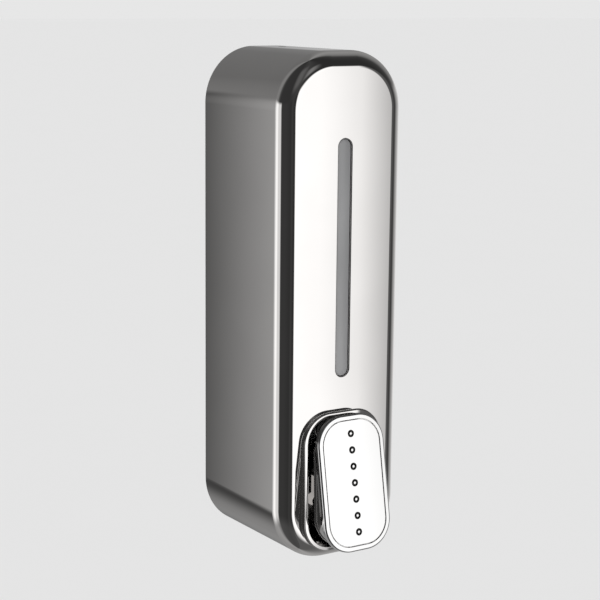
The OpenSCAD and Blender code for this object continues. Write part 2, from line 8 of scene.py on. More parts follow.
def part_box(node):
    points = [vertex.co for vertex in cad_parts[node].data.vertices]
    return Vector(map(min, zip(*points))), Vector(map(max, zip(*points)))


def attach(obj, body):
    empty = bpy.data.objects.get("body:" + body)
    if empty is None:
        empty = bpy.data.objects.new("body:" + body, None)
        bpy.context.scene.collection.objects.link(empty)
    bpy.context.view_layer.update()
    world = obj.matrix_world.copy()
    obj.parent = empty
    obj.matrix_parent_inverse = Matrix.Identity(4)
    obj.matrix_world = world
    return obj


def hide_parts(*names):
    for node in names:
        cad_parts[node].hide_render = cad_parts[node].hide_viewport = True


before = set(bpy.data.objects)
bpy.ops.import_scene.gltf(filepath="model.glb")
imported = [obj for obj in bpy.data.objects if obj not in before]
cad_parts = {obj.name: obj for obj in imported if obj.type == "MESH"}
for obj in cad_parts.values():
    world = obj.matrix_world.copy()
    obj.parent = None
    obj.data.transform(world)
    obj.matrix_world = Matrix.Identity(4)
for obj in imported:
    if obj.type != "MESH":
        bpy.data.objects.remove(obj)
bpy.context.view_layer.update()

MM = 0.001


def box_of(node):
    """The low and high corner of a CAD node as arrays, in metres."""
    low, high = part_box(node)
    return np.array(low), np.array(high)


# ---------------------------------------------------------------- places
# Sizes that the frame gives
case_high = box_of("cover")[1]
pin_low, pin_high = box_of("button_pin")
hinge_low, hinge_high = box_of("hinge_pin")
HALF_W = case_high[0]
HALF_H = case_high[2]
REAR_Y = case_high[1]
PIVOT = (pin_low + pin_high)[1:] / 2
HINGE = (hinge_low + hinge_high)[1:] / 2

# Case
WINDOW_SUNK = 0.6 * MM
FRONT_Y = box_of("window")[0][1] - WINDOW_SUNK
WALL = 2.2 * MM
CORNER_R = 24 * MM
EDGE_R = 7 * MM
INNER_EDGE_R = 4 * MM
SHOULDER_Y = FRONT_Y + EDGE_R
INNER_FRONT_Y = FRONT_Y + WALL
HEEL_R = 8.2 * MM
RIM_ROUND = 0.4 * MM

# Slit of the level window
SLIT_HALF = np.array([3.25, 49.9]) * MM
SLIT_Z = 21.9 * MM
SLIT_ROUND = 0.5 * MM

# Collar and the opening inside it. The collar leans, its foot standing out
COLLAR_OUT = 2.2 * MM
COLLAR_LEAN = math.tan(math.radians(1.8))
OPEN_HALF = np.array([18.0, 28.2]) * MM
OPEN_R = 11.5 * MM
COLLAR_Z = -HALF_H + 34.7 * MM
LIP = 1.6 * MM
FOOT = 0.2 * MM
FOOT_ROWS = 15
LIP_ROUND = 0.4 * MM
LIP_INNER_ROUND = 0.15 * MM
# The lip's face falls away outwards by this angle
LIP_FALL = math.radians(10)

# The front is cut in two along this level, between the slit and the collar
SPLIT_Z = -35.5 * MM

# Button: plate, rim, inset face
TILT = math.radians(9.9)
PLATE_MID = np.array([0, FRONT_Y - 10.7 * MM, -HALF_H + 35.8 * MM])
PLATE_HALF = np.array([16.7, 28.9]) * MM
PLATE_R = 12.6 * MM
PLATE_T = 2.4 * MM
RIM = 2.3 * MM
FACE_GAP = 0.15 * MM
FACE_DEPTH = 0.9 * MM
FACE_SUNK = 0.1 * MM
SKIRT_HALF = np.array([16.5, 26.5]) * MM
SKIRT_R = 12 * MM
SKIRT_T = 1.6 * MM
SKIRT_SWING_R = PIVOT[1] - (COLLAR_Z - OPEN_HALF[1]) - 0.5 * MM
DIMPLE_PITCH = 6.95 * MM
DIMPLES = 7
DIMPLE_DEEP = 0.42 * MM


# ---------------------------------------------------------------- surfaces
class Skin:
    """Grids of points, each with its own normals, sewn into one mesh where their points meet."""

    def __init__(self):
        self.points, self.normals, self.quads, self.count = [], [], [], 0

    def grid(self, points, normals, closed=False, keep=None):
        """Adds a grid of (columns, rows) points. closed joins the last column to the first;
        keep is a (columns, rows) mask of the cells that stay."""
        cols, rows = points.shape[:2]
        index = self.count + np.arange(cols * rows).reshape(cols, rows)
        here, there = (index, np.roll(index, -1, 0)) if closed else (index[:-1], index[1:])
        quads = np.stack([here[:, :-1], there[:, :-1], there[:, 1:], here[:, 1:]], -1)
        if keep is not None:
            quads = quads[keep[: quads.shape[0], : quads.shape[1]]]
        self.points.append(points.reshape(-1, 3))
        self.normals.append(np.broadcast_to(normals, points.shape).reshape(-1, 3))
        self.quads.append(quads.reshape(-1, 4))
        self.count += cols * rows
        return self

    def mesh(self, name):
        points = np.concatenate(self.points)
        normals = np.concatenate(self.normals)
        normals = normals / np.maximum(np.linalg.norm(normals, axis=1, keepdims=True), 1e-12)
        quads = np.concatenate(self.quads)
        corner = points[quads]
        facing = np.cross(corner[:, 2] - corner[:, 0], corner[:, 3] - corner[:, 1])
        turned = (facing * normals[quads].sum(1)).sum(1) < 0
        quads[turned] = quads[turned][:, ::-1]

        # Points closer than a few microns are one
        places = np.round(points * 2e5)
        _, first, merged = np.unique(places, axis=0, return_index=True, return_inverse=True)
        sewn = merged.reshape(-1)[quads]
        same = sewn == np.roll(sewn, -1, 1)
        faces, corners = [*sewn[same.sum(1) == 0]], [*quads[same.sum(1) == 0]]
        for k in range(4):
            side = np.delete(np.arange(4), k)
            pinched = (same.sum(1) == 1) & same[:, k]
            faces += [*sewn[pinched][:, side]]
            corners += [*quads[pinched][:, side]]
        mesh = bpy.data.meshes.new(name)
        mesh.from_pydata(points[first].tolist(), [], [f.tolist() for f in faces])
        mesh.polygons.foreach_set("use_smooth", np.ones(len(mesh.polygons), bool))
        mesh.normals_split_custom_set(normals[np.concatenate(corners)].tolist())
        mesh.update()
        return mesh


def columns(half, r, mid_z, end_x=5, side_z=9, corner=12):
    """Columns round a rectangle with round corners, clockwise from the top's left end.
    A column stands at c on the rectangle that joins the corners' centres and faces out
    along n, so its point at reach q is c + q n. Returns c and n, as (x, z) pairs.
    end_x and side_z are counts, or the places themselves."""
    cx, cz = half[0] - r, half[1] - r
    xs_top = np.linspace(-cx, cx, end_x) if np.isscalar(end_x) else end_x[0]
    xs_foot = np.linspace(-cx, cx, end_x) if np.isscalar(end_x) else end_x[1]
    zs = np.linspace(-cz, cz, side_z) if np.isscalar(side_z) else side_z - mid_z
    turn = np.linspace(0, np.pi / 2, corner + 2)[1:-1]
    c, n = [], []

    def straight(xs, zs, nx, nz):
        xs, zs = np.broadcast_arrays(np.asarray(xs, float), np.asarray(zs, float))
        c.append(np.stack([xs, zs + mid_z], -1))
        n.append(np.broadcast_to([float(nx), float(nz)], (len(xs), 2)))

    def bend(sx, sz, angles):
        c.append(np.broadcast_to([sx * cx, sz * cz + mid_z], (len(angles), 2)))
        n.append(np.stack([np.cos(angles), np.sin(angles)], -1))

    straight(xs_top, cz, 0, 1)
    bend(1, 1, np.pi / 2 - turn)
    straight(cx, zs[::-1], 1, 0)
    bend(1, -1, -turn)
    straight(xs_foot[::-1], -cz, 0, -1)
    bend(-1, -1, -np.pi / 2 - turn)
    straight(-cx, zs, -1, 0)
    bend(-1, 1, np.pi - turn)
    return np.concatenate(c), np.concatenate(n)


def sweep(c, n, reach, y, out, along):
    """Carries a profile along columns: point (c + reach n, y), normal (out n, along).
    reach, y, out and along are one profile, or one for each column."""
    reach, y, out, along = (np.broadcast_to(v, (len(c), np.shape(v)[-1])) for v in (reach, y, out, along))
    flat = c[:, None] + n[:, None] * reach[..., None]
    points = np.stack([flat[..., 0], y, flat[..., 1]], -1)
    side = n[:, None] * out[..., None]
    return points, np.stack([side[..., 0], along, side[..., 1]], -1)


def quarter(steps, start=0.0):
    """Angles of a quarter turn, from start to 90 degrees."""
    return np.linspace(start, np.pi / 2, steps)


def inside(p, half, r, mid_z):
    """Signed distance of (x, z) points from a rectangle with round corners, negative inside."""
    d = np.abs(p - [0, mid_z]) - (np.asarray(half) - r)
    return np.hypot(*np.maximum(d, 0).T) + np.minimum(d.max(-1), 0) - r


def crossing(start, end, half, r, mid_z):
    """Where the lines from start (outside) to end (inside) cross a rounded rectangle."""
    low, high = np.zeros(len(start)), np.ones(len(start))
    for _ in range(40):
        mid = (low + high) / 2
        outside = inside(start + (end - start) * mid[:, None], half, r, mid_z) > 0
        low, high = np.where(outside, mid, low), np.where(outside, high, mid)
    return start + (end - start) * high[:, None]


def numeric_normals(points, closed=True):
    """Normals of a grid from the cross product of its two directions, with the sign left as it is."""
    if closed:
        du = np.roll(points, -1, 0) - np.roll(points, 1, 0)
    else:
        du = np.gradient(points, axis=0)
    normal = np.cross(du, np.gradient(points, axis=1))
    return normal / np.maximum(np.linalg.norm(normal, axis=-1, keepdims=True), 1e-15)


def lie(points2, y, facing):
    """(x, z) points laid at depth y, with one normal along Y for them all."""
    points = np.stack([points2[..., 0], np.broadcast_to(y, points2.shape[:-1]), points2[..., 1]], -1)
    return points, np.broadcast_to([0.0, facing, 0.0], points.shape)


def between(first, last, rows):
    """Rows of points spread evenly from one loop to another."""
    t = np.linspace(0, 1, rows)[None, :, None]
    return first[:, None] * (1 - t) + last[:, None] * t


def to_slope(points, normals):
    """Turns the button's own frame (its face at y = 0, z up the slope) into the row frame."""
    turn = np.array(Matrix.Rotation(-TILT, 3, "X"))
    return points @ turn.T + PLATE_MID, normals @ turn.T


# ---------------------------------------------------------------- finishes
def node_of(tree, kind, **inputs):
    node = tree.nodes.new(kind)
    for key, value in inputs.items():
        node.inputs[key.replace("_", " ")].default_value = value
    return node


def math_node(tree, operation, a, b=None, clamp=False):
    node = tree.nodes.new("ShaderNodeMath")
    node.operation = operation
    node.use_clamp = clamp
    for socket, value in zip(node.inputs, (a, b)):
        if isinstance(value, bpy.types.NodeSocket):
            tree.links.new(value, socket)
        elif value is not None:
            socket.default_value = value
    return node.outputs[0]


def smooth_step(tree, value, low, high):
    node = tree.nodes.new("ShaderNodeMapRange")
    node.interpolation_type = "SMOOTHSTEP"
    tree.links.new(value, node.inputs["Value"])
    node.inputs["From Min"].default_value = low
    node.inputs["From Max"].default_value = high
    return node.outputs[0]


class Finish:
    """A material made of noise fields on Object coordinates that lead to a Principled shader."""

    def __init__(self, name, **fixed):
        self.material = bpy.data.materials.new(name)
        self.material.use_nodes = True
        self.tree = self.material.node_tree
        self.tree.nodes.clear()
        self.shader = self.tree.nodes.new("ShaderNodeBsdfPrincipled")
        output = self.tree.nodes.new("ShaderNodeOutputMaterial")
        self.tree.links.new(self.shader.outputs[0], output.inputs["Surface"])
        self.coords = self.tree.nodes.new("ShaderNodeTexCoord").outputs["Object"]
        for key, value in fixed.items():
            self.shader.inputs[key.replace("_", " ")].default_value = value

    def noise(self, scale, detail=3.0, stretch=(1, 1, 1)):
        mapping = self.tree.nodes.new("ShaderNodeMapping")
        mapping.inputs["Scale"].default_value = stretch
        self.tree.links.new(self.coords, mapping.inputs["Vector"])
        field = node_of(self.tree, "ShaderNodeTexNoise", Scale=scale, Detail=detail)
        self.tree.links.new(mapping.outputs[0], field.inputs["Vector"])
        return field.outputs["Fac"]

    def colour(self, field, low, high, spread=(0.35, 0.65)):
        ramp = self.tree.nodes.new("ShaderNodeValToRGB")
        for stop, place, tint in zip(ramp.color_ramp.elements, spread, (low, high)):
            stop.position = place
            stop.color = (*tint, 1)
        self.tree.links.new(field, ramp.inputs[0])
        self.tree.links.new(ramp.outputs[0], self.shader.inputs["Base Color"])
        return self

    def roughness(self, field, low, high, spread=(0.3, 0.7)):
        span = node_of(self.tree, "ShaderNodeMapRange")
        for key, value in zip(("From Min", "From Max", "To Min", "To Max"), (*spread, low, high)):
            span.inputs[key].default_value = value
        self.tree.links.new(field, span.inputs["Value"])
        self.tree.links.new(span.outputs[0], self.shader.inputs["Roughness"])
        return self

    def bump(self, field, height, strength=1.0):
        bump = node_of(self.tree, "ShaderNodeBump", Strength=strength, Distance=height)
        self.tree.links.new(field, bump.inputs["Height"])
        self.tree.links.new(bump.outputs[0], self.shader.inputs["Normal"])
        return self


def chrome(name, rough_low, rough_high, tint):
    """Bright chrome plating: a mirror with faint wiped patches that dull it a little."""
    finish = Finish(name, Metallic=1.0)
    wiped = finish.noise(60, 5, (1, 1, 0.35))
    return (
        finish.colour(finish.noise(25, 2), tuple(t * 0.96 for t in tint), tint)
        .roughness(wiped, rough_low, rough_high)
        .material
    )


def paint_groove_shade(material, share):
    """Paints shade into a chrome finish: darkens it to a share of white as the mesh's attribute
    "hollow" goes up, painted shade in the fine grooves of the dimples."""
    tree = material.node_tree
    colour = next(n for n in tree.nodes if n.type == "BSDF_PRINCIPLED").inputs["Base Color"]
    plain = colour.links[0].from_socket
    hollow = tree.nodes.new("ShaderNodeAttribute")
    hollow.attribute_name = "hollow"
    mix = tree.nodes.new("ShaderNodeMix")
    mix.data_type = "RGBA"
    factor, first, second = (mix.inputs[k] for k in (0, 6, 7))
    tree.links.new(smooth_step(tree, hollow.outputs["Fac"], 0.15, 0.5), factor)
    tree.links.new(plain, first)
    # Colour of the painted shade in the grooves
    second.default_value = (share, share, share, 1)
    tree.links.new(mix.outputs[2], colour)
    return material


def moulded(name, tint, dark, rough, grain_mm=0.35, height=8e-6, **fixed):
    """Moulded plastic: slight flow shading, and a fine spark-eroded grain."""
    finish = Finish(name, **fixed)
    return (
        finish.colour(finish.noise(45, 3), dark, tint)
        .roughness(finish.noise(300, 2), rough - 0.06, rough + 0.06)
        .bump(finish.noise(1 / (grain_mm * MM), 2), height)
        .material
    )


def rubber():
    finish = Finish("nitrile_rubber")
    return (
        finish.colour(finish.noise(200, 3), (0.012, 0.012, 0.012), (0.03, 0.03, 0.031))
        .roughness(finish.noise(500, 3), 0.55, 0.8)
        .bump(finish.noise(1800, 3), 1.5e-5)
        .material
    )


def turned_steel(name, tint, stretch):
    """Bright steel with fine marks drawn across its length."""
    finish = Finish(name, Metallic=1.0)
    marks = finish.noise(900, 4, stretch)
    return (
        finish.colour(marks, tuple(t * 0.8 for t in tint), tint)
        .roughness(marks, 0.16, 0.34)
        .bump(marks, 3e-6, 0.6)
        .material
    )


def natural_plastic():
    """Milky blow-moulded plastic that lets light through."""
    finish = Finish("natural_polyethylene", Transmission_Weight=0.55, IOR=1.5)
    return (
        finish.colour(finish.noise(30, 3), (0.78, 0.82, 0.83), (0.88, 0.9, 0.9))
        .roughness(finish.noise(120, 4), 0.32, 0.48)
        .bump(finish.noise(90, 2), 4e-5)
        .material
    )


def smoked_plastic():
    """Smoked level window: dark tint with a satin back."""
    clear = dict(Transmission_Weight=0.15, IOR=1.49, Coat_Weight=0.5, Coat_Roughness=0.08)
    finish = Finish("smoked_clear", **clear)
    return (
        finish.colour(finish.noise(80, 2, (1, 1, 0.2)), (0.3, 0.3, 0.305), (0.38, 0.38, 0.385))
        .roughness(finish.noise(700, 3), 0.28, 0.4)
        .material
    )


CHROME_CASE = chrome("chrome_plate_case", 0.008, 0.022, (0.935, 0.915, 0.9))
BUTTON_PLATING = (0.006, 0.016, (0.95, 0.945, 0.94))
CHROME_BUTTON = chrome("chrome_plate_button", *BUTTON_PLATING)
# The inset's chrome has painted shade in its dimples' grooves
CHROME_INSET = paint_groove_shade(chrome("chrome_plate_inset", *BUTTON_PLATING), 0.06)
SMOKED = smoked_plastic()
TANK = natural_plastic()
WHITE = moulded("white_abs", (0.78, 0.78, 0.77), (0.72, 0.72, 0.71), 0.42)
GREY = moulded("grey_acetal", (0.2, 0.2, 0.21), (0.15, 0.15, 0.16), 0.38)
DARK = moulded("dark_polypropylene", (0.085, 0.082, 0.081), (0.065, 0.063, 0.062), 0.45)
RUBBER = rubber()
STEEL = turned_steel("stainless_steel", (0.68, 0.67, 0.66), (1, 1, 0.08))
SPRING_STEEL = turned_steel("spring_steel", (0.6, 0.6, 0.6), (0.3, 1, 0.3))
ZINC = turned_steel("nickelled_zinc", (0.6, 0.59, 0.57), (1, 1, 1))

FINISH_OF = {
    "back_plate": WHITE, "hinge_pin": STEEL, "lock_strike": STEEL, "reservoir": TANK,
    "reservoir_lid": TANK, "lid_gasket": RUBBER, "tank_screws": STEEL, "pump_body": DARK,
    "inlet_seal": RUBBER, "inlet_ball": STEEL, "outlet_valve": RUBBER, "nozzle": DARK,
    "duct_plug": DARK, "pump_cap": DARK, "pump_screws": STEEL, "pump_spring": SPRING_STEEL,
    "filler_cap": GREY, "cap_seal": RUBBER, "piston": DARK, "piston_seal": RUBBER,
    "cover": CHROME_CASE, "window": SMOKED, "button_pin": STEEL, "button": CHROME_BUTTON,
    "button_face": CHROME_BUTTON, "button_lever": DARK, "lever_screws": STEEL,
    "lock_barrel": ZINC, "lock_collar": GREY, "lock_cam": STEEL, "cam_screw": STEEL,
}


def finish_cad_nodes():
    """Gives every carried-over CAD node its own finish."""
    for name, material in FINISH_OF.items():
        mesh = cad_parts[name].data
        mesh.materials.clear()
        mesh.materials.append(material)


def piece(name, mesh, material, body, slot, *stands_for):
    """A finished piece at the origin, riding on a body in place of the CAD nodes it stands for."""
    obj = bpy.data.objects.new(name, mesh)
    bpy.context.scene.collection.objects.link(obj)
    mesh.materials.append(material)
    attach(obj, body)
    if stands_for:
        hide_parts(*stands_for)
    return obj


# ---------------------------------------------------------------- case
# Ears: radius, near and far face from the middle, and how far each goes into the case's wall
PIN_EAR_R, PIN_EAR_X = 2.6 * MM, np.array([19.5, 22.4]) * MM
HINGE_EAR_R, HINGE_EAR_X = 3.6 * MM, np.array([9.8, 13.3]) * MM
ROOTED = 0.3 * MM
BOSS_WALL = 1.4 * MM
KEY_Y = (box_of("lock_barrel")[0] + box_of("lock_barrel")[1])[1] / 2
KEY_R = 1.8 * MM
KEY_SQUARE = 3 * MM
NOZZLE_HOLE_X = 5.5 * MM
NOZZLE_HOLE_Y = np.array([-34, -47]) * MM


def case_columns():
    """The case's columns, with one at every place where the shell is cut."""
    straight = HALF_W - CORNER_R
    key = np.arange(-3, 4) * MM
    top_x = np.concatenate([[-straight, -4.5 * MM], key, [4.5 * MM, straight]])
    foot_x = np.array([-straight, -NOZZLE_HOLE_X, -2 * MM, 2 * MM, NOZZLE_HOLE_X, straight])
    reach = HALF_H - CORNER_R
    side_z = np.concatenate([np.linspace(-reach, SPLIT_Z, 22)[:-1], np.linspace(SPLIT_Z, reach, 46)])
    return columns((HALF_W, HALF_H), CORNER_R, 0, (top_x, foot_x), side_z, 30)


def rear_edge(z):
    """How far back the shell goes at a level: to its rear edge, or to the heel's circle
    about the hinge."""
    below = np.minimum(z - HINGE[1], 0)
    return np.minimum(REAR_Y, HINGE[0] + np.sqrt(np.maximum(HEEL_R**2 - below**2, 0)))


def front_reach(c, n, half, r):
    """The reach at which a column of the front meets the collar's foot, or the flat's edge
    if it meets that first."""
    flat = c + n * (CORNER_R - EDGE_R)
    hit = crossing(c + n * CORNER_R, flat, half, r, COLLAR_Z)
    met = inside(flat, half, r, COLLAR_Z) < 0
    return np.where(met, np.linalg.norm(hit - c, axis=1), CORNER_R - EDGE_R)


def shell_band(c, n, reach, edge_r, end_reach, side):
    """One side of the shell, from its rear rim round the edge to the flat front.
    side is +1 outside and -1 inside. The edge is a quarter circle: reach - e (1 - cos a), -e sin a."""
    rear = rear_edge(c[:, 1] + n[:, 1] * reach)[:, None]
    back = quarter(5)[None]
    rim = (
        reach - side * RIM_ROUND * (1 - np.sin(back)) + 0 * rear,
        rear - RIM_ROUND * (1 - np.cos(back)),
        side * np.sin(back) + 0 * rear,
        np.cos(back) + 0 * rear,
    )
    key_rows = KEY_Y + np.arange(3, -4, -1) * MM
    rows = np.concatenate([[-8 * MM, -11 * MM], key_rows, [-26 * MM], NOZZLE_HOLE_Y])
    wall = tuple(np.broadcast_to(v, (len(c), len(rows))) for v in (reach, rows, side, 0.0))
    last = np.arccos(np.clip(1 - (reach - end_reach) / edge_r, -1, 1))[:, None]
    bend = last * np.linspace(0, 1, 25)[None]
    shoulder = SHOULDER_Y if side > 0 else INNER_FRONT_Y + edge_r
    edge = (
        reach - edge_r * (1 - np.cos(bend)),
        shoulder - edge_r * np.sin(bend),
        side * np.cos(bend),
        -side * np.sin(bend),
    )
    profile = [np.concatenate(parts, 1) for parts in zip(rim, wall, edge)]
    points, normals = sweep(c, n, *profile)
    return points, normals, rim[0].shape[1], len(rows), key_rows


def case_front_point(flat):
    """Depth and normal of the case's outer front at (x, z) points: flat, or on the round edge.
    On the edge, at distance d from the outline, y = shoulder - sqrt(e^2 - (e - d)^2)."""
    depth = np.clip(-inside(flat, (HALF_W, HALF_H), CORNER_R, 0), 0, EDGE_R)
    sine = (EDGE_R - depth) / EDGE_R
    cosine = np.sqrt(1 - sine**2)
    centre = np.clip(flat, [CORNER_R - HALF_W, CORNER_R - HALF_H], [HALF_W - CORNER_R, HALF_H - CORNER_R])
    out = flat - centre
    out = out / np.maximum(np.linalg.norm(out, axis=1, keepdims=True), 1e-9)
    normal = np.stack([out[:, 0] * sine, -cosine, out[:, 1] * sine], -1)
    return SHOULDER_Y - EDGE_R * cosine, normal


def collar_profile(flat, facing):
    """The collar's profile at each column: a hollow foot that leaves the case's surface
    along it, the outer wall, the rounded lip, and the inner wall back to the case's inside.
    The foot is the cubic curve on four points that starts along the surface and ends along the wall."""
    foot_y, foot_n = case_front_point(flat)
    lean = (foot_n[:, 0] * facing[:, 0] + foot_n[:, 2] * facing[:, 1]) / foot_n[:, 1]
    wall_reach, foot_reach = OPEN_R + LIP, OPEN_R + LIP + FOOT
    t = np.linspace(0, 1, FOOT_ROWS)[None]
    pull = FOOT * 0.6
    knots_q = [foot_reach, foot_reach - pull, wall_reach, wall_reach]
    wall_y = (foot_y - FOOT)[:, None]
    knots_y = [foot_y[:, None], foot_y[:, None] + lean[:, None] * pull, wall_y + pull, wall_y]
    weights = [(1 - t) ** 3, 3 * t * (1 - t) ** 2, 3 * t**2 * (1 - t), t**3]
    foot_q = sum(w * k for w, k in zip(weights, knots_q)) + 0 * wall_y
    foot_d = sum(w * k for w, k in zip(weights, knots_y))
    slope_q, slope_y = np.gradient(foot_q, axis=1), np.gradient(foot_d, axis=1)
    length = np.hypot(slope_q, slope_y)
    foot = (foot_q, foot_d, -slope_y / length, slope_q / length)

    lip_y = FRONT_Y - COLLAR_OUT
    a, b = np.linspace(0, np.pi / 2 - LIP_FALL, 8), quarter(7)[::-1]
    crest = OPEN_R + LIP_INNER_ROUND
    brow = wall_reach - LIP_ROUND * (1 - math.sin(LIP_FALL))
    fall = math.tan(LIP_FALL) * (brow - crest)
    outer = (
        wall_reach - LIP_ROUND * (1 - np.cos(a)),
        lip_y + fall + LIP_ROUND * (math.cos(LIP_FALL) - np.sin(a)),
        np.cos(a),
        -np.sin(a),
    )
    face = tuple(np.array([v]) for v in (crest, lip_y, math.sin(LIP_FALL), -math.cos(LIP_FALL)))
    inner = (OPEN_R + LIP_INNER_ROUND * (1 - np.cos(b)), lip_y + LIP_INNER_ROUND * (1 - np.sin(b)),
             -np.cos(b), -np.sin(b))
    back = (np.array([OPEN_R]), np.array([INNER_FRONT_Y]), np.array([-1.0]), np.array([0.0]))
    cols = len(flat)
    rest = [[np.broadcast_to(v, (cols, len(v))) for v in part] for part in (outer, face, inner, back)]
    return [np.concatenate(parts, 1) for parts in zip(foot, *rest)], foot_n


def on_outline(flat, half, r):
    """Column centre and direction of (x, z) points that lie round the collar."""
    core = np.asarray(half) - r
    centre = np.clip(flat, [-core[0], COLLAR_Z - core[1]], [core[0], COLLAR_Z + core[1]])
    out = flat - centre
    return centre, out / np.linalg.norm(out, axis=1, keepdims=True)


def case_shell():
    """The chromed case in one closed skin: outside, rear rim, inside, slit, collar and holes."""
    skin = Skin()
    c, n = case_columns()
    foot_half, foot_r = OPEN_HALF + LIP + FOOT, OPEN_R + LIP + FOOT
    outer = shell_band(c, n, CORNER_R, EDGE_R, front_reach(c, n, foot_half, foot_r), 1)
    inner_end = np.full(len(c), CORNER_R - WALL - INNER_EDGE_R)
    inner = shell_band(c, n, CORNER_R - WALL, INNER_EDGE_R, inner_end, -1)

    # Cells of the bands that the nozzle's and the key's holes cut away
    rim_rows, _, key_rows = outer[2:]
    keep = np.ones(outer[0].shape[:2], bool)
    tiny = 1e-6
    x, z = c[:, 0], n[:, 1]
    row_y = outer[0][0, :, 1]
    upright = np.abs(n[:, 0]) < 0.5
    under = upright & (z < -0.5) & (x <= NOZZLE_HOLE_X + tiny) & (x > -NOZZLE_HOLE_X + tiny)
    over = upright & (z > 0.5) & (x >= -KEY_SQUARE - tiny) & (x < KEY_SQUARE - tiny)
    first_wall = np.arange(len(row_y)) >= rim_rows
    in_nozzle = first_wall & (row_y <= NOZZLE_HOLE_Y[0] + tiny) & (row_y > NOZZLE_HOLE_Y[1] + tiny)
    in_key = first_wall & (row_y <= key_rows[0] + tiny) & (row_y > key_rows[-1] + tiny)
    keep[np.ix_(under, in_nozzle)] = False
    keep[np.ix_(over, in_key)] = False
    for points, normals, *_ in (outer, inner):
        skin.grid(points, normals, closed=True, keep=keep)

    # Rear rim between the two bands
    rim = between(outer[0][:, 0], inner[0][:, 0], 3)
    skin.grid(rim, np.array([0.0, 1.0, 0.0]), closed=True)

    # The two halves of the front, each between its columns and its opening
    outer_flat = outer[0][:, -1][:, [0, 2]]
    inner_flat = inner[0][:, -1]
    level = c[:, 1] + n[:, 1] * (CORNER_R - EDGE_R)
    span = np.linspace(-1, 1, 25)[1:-1] * (HALF_W - EDGE_R)
    cut = np.stack([span, np.full_like(span, SPLIT_Z)], -1)
    cut_inside = np.stack([span, np.full_like(span, INNER_FRONT_Y), np.full_like(span, SPLIT_Z)], -1)
    order = np.arange(len(c))
    low = np.roll(order, -np.flatnonzero((level <= SPLIT_Z + tiny) & (n[:, 0] > 0.5))[0])
    low = low[level[low] <= SPLIT_Z + tiny]
    high = np.roll(order, -np.flatnonzero((level >= SPLIT_Z - tiny) & (n[:, 0] < -0.5))[0])
    high = high[level[high] >= SPLIT_Z - tiny]

    # Below: down to the collar, over it and back through the opening
    ring = np.concatenate([outer_flat[low], cut])
    core = foot_half[1] - foot_half[0]
    middle = np.stack([0 * ring[:, 0], np.clip(ring[:, 1], COLLAR_Z - core, COLLAR_Z + core)], -1)
    touching = inside(ring, foot_half, foot_r, COLLAR_Z) < 1e-7
    foot = np.where(touching[:, None], ring, crossing(ring, middle, foot_half, foot_r, COLLAR_Z))
    skin.grid(*lie(between(ring, foot, 8), FRONT_Y, -1), closed=True,
              keep=np.broadcast_to(~(touching & np.roll(touching, -1))[:, None], (len(ring), 8)))
    centre, facing = on_outline(foot, foot_half, foot_r)
    profile, foot_n = collar_profile(foot, facing)
    points, normals = sweep(centre, facing, *profile)
    normals[:, 0] = foot_n
    lip = slice(FOOT_ROWS, -1)
    points[:, lip, 1] -= COLLAR_LEAN * (COLLAR_Z - points[:, lip, 2])
    normals[:, lip, 2] -= COLLAR_LEAN * normals[:, lip, 1]
    skin.grid(points, normals, closed=True)
    inside_ring = np.concatenate([inner_flat[low], cut_inside])
    skin.grid(between(inside_ring, points[:, -1], 6), np.array([0.0, 1.0, 0.0]), closed=True)

    # Above: in to the slit and back through it
    ring = np.concatenate([outer_flat[high], cut[::-1]])
    core = SLIT_HALF[1] - SLIT_HALF[0]
    middle = np.stack([0 * ring[:, 0], np.clip(ring[:, 1], SLIT_Z - core, SLIT_Z + core)], -1)
    facing = ring - middle
    facing = facing / np.linalg.norm(facing, axis=1, keepdims=True)
    lip = middle + facing * (SLIT_HALF[0] + SLIT_ROUND)
    skin.grid(*lie(between(ring, lip, 10), FRONT_Y, -1), closed=True)
    a = quarter(7)[::-1]
    reach = np.append(SLIT_HALF[0] + SLIT_ROUND * (1 - np.cos(a)), SLIT_HALF[0])
    depth = np.append(FRONT_Y + SLIT_ROUND * (1 - np.sin(a)), INNER_FRONT_Y)
    out, along = np.append(-np.cos(a), -1), np.append(-np.sin(a), 0)
    points, normals = sweep(middle, facing, reach, depth, out, along)
    skin.grid(points, normals, closed=True)
    inside_ring = np.concatenate([inner_flat[high], cut_inside[::-1]])
    skin.grid(between(inside_ring, points[:, -1], 6), np.array([0.0, 1.0, 0.0]), closed=True)

    # Walls of the nozzle's hole and of the key's hole
    inner_z = WALL - HALF_H
    for sx in (-1, 1):
        xs = np.full(2, sx * NOZZLE_HOLE_X)
        skin.grid(hole_wall(xs, NOZZLE_HOLE_Y, -HALF_H, inner_z), np.array([-sx, 0.0, 0.0]))
    foot_x = np.array([-NOZZLE_HOLE_X, -2 * MM, 2 * MM, NOZZLE_HOLE_X])
    for y, facing_y in zip(NOZZLE_HOLE_Y, (-1.0, 1.0)):
        skin.grid(hole_wall(foot_x, np.full(4, y), -HALF_H, inner_z), np.array([0.0, facing_y, 0.0]))
    key_hole(skin, key_rows)
    return skin


def hole_wall(xs, ys, low_z, high_z):
    """A flat wall of a hole: a line of points in plan, drawn from one level to another."""
    plan = np.stack([xs, ys], -1)
    rows = [np.concatenate([plan, np.full((len(xs), 1), z)], 1) for z in (low_z, high_z)]
    return np.stack(rows, 1)


